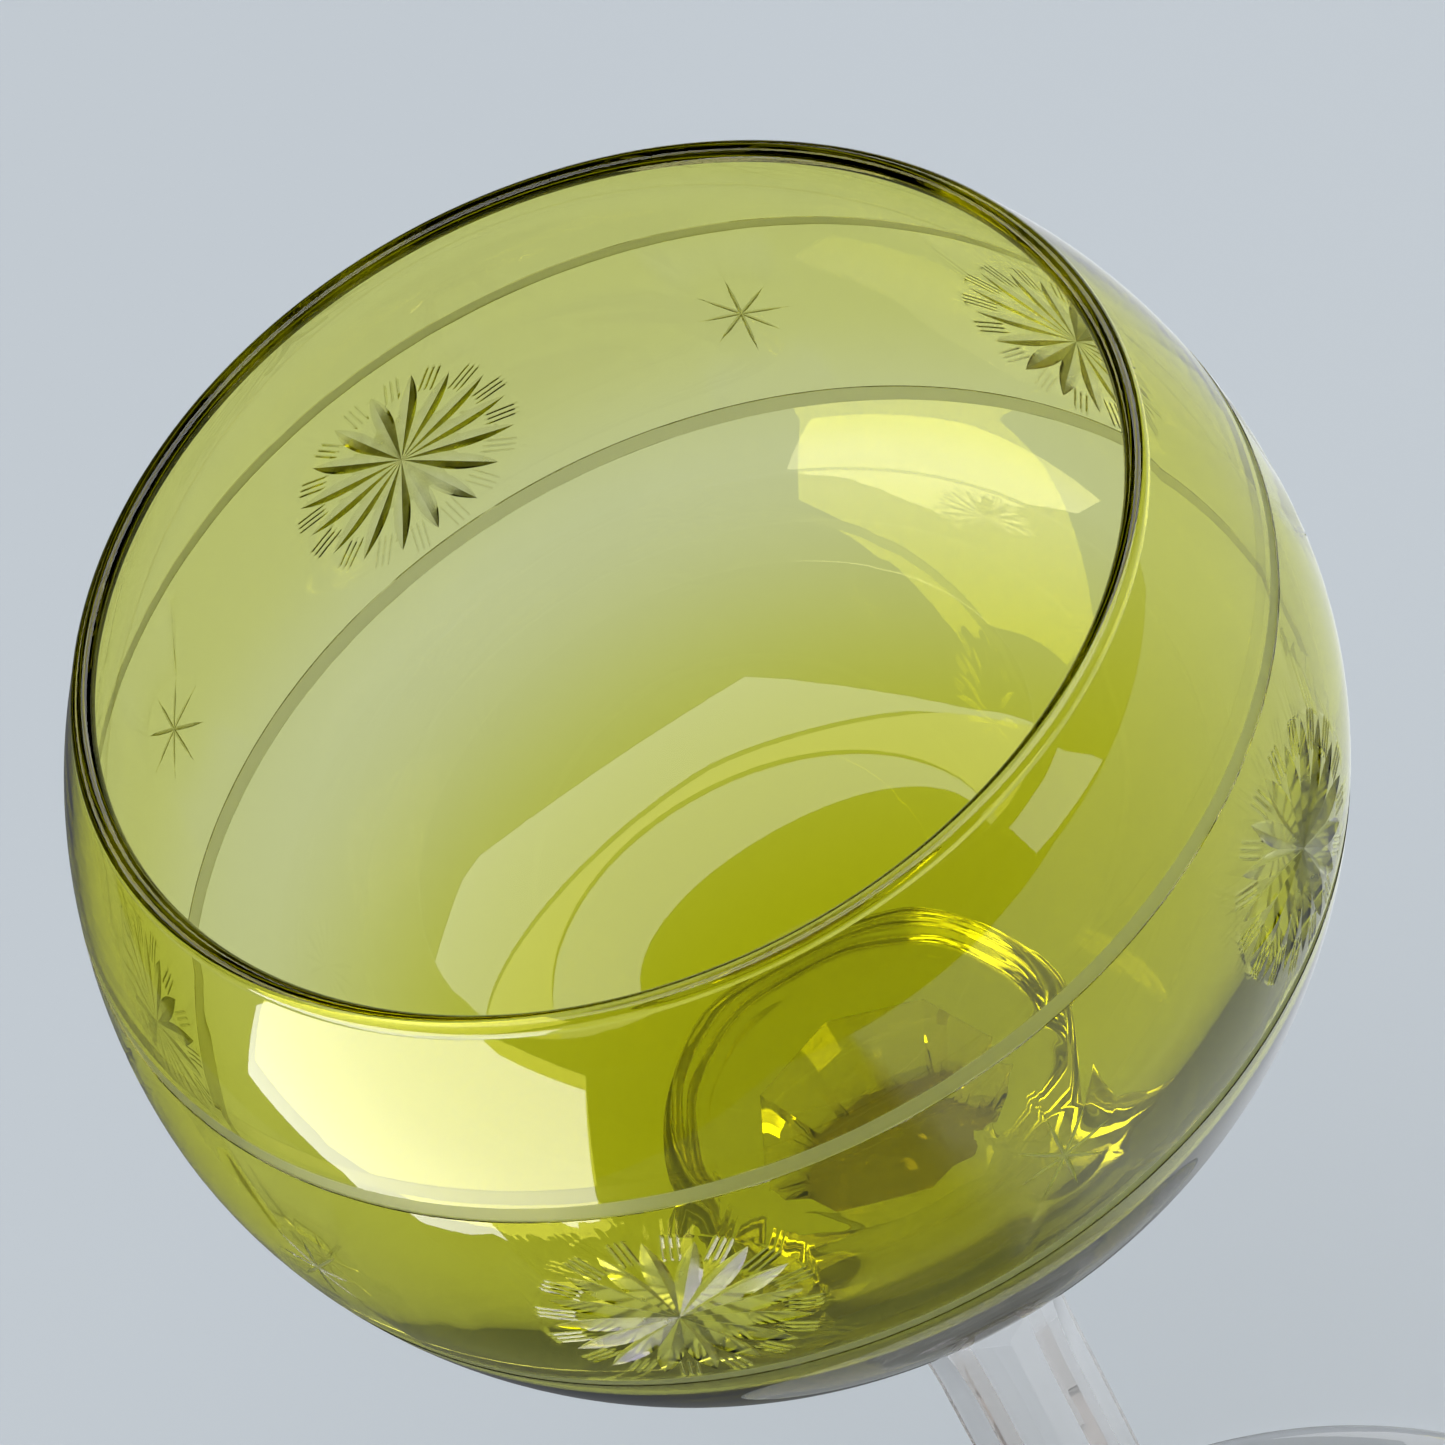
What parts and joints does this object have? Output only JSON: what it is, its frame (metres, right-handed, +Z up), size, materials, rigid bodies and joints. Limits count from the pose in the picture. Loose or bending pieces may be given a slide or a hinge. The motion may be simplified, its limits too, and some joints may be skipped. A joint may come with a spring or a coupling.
{
  "type": "stemmed wine glass",
  "caption": "Stemmed hock wine glass with a rounded, incurved green bowl engraved with bands and stars, on a clear facet-cut stem and disc foot.",
  "frame": {"origin": "centre of the foot's underside, on the surface that the glass stands on", "axes": "+Z up along the glass's axis of turning, from the foot to the rim; the first ridge of the stem is a few degrees from +X"},
  "size_m": [0.0758, 0.0758, 0.15],
  "materials": {
    "green_glass": "fire-polished olive-green glass with matte wheel-ground engraving",
    "clear_glass": "polished colourless glass, the stem ground in flat facets"
  },
  "bodies": {
    "root": {"bowl": "green_glass", "knop": "clear_glass", "stem": "clear_glass", "foot": "clear_glass"}
  },
  "joints": []
}
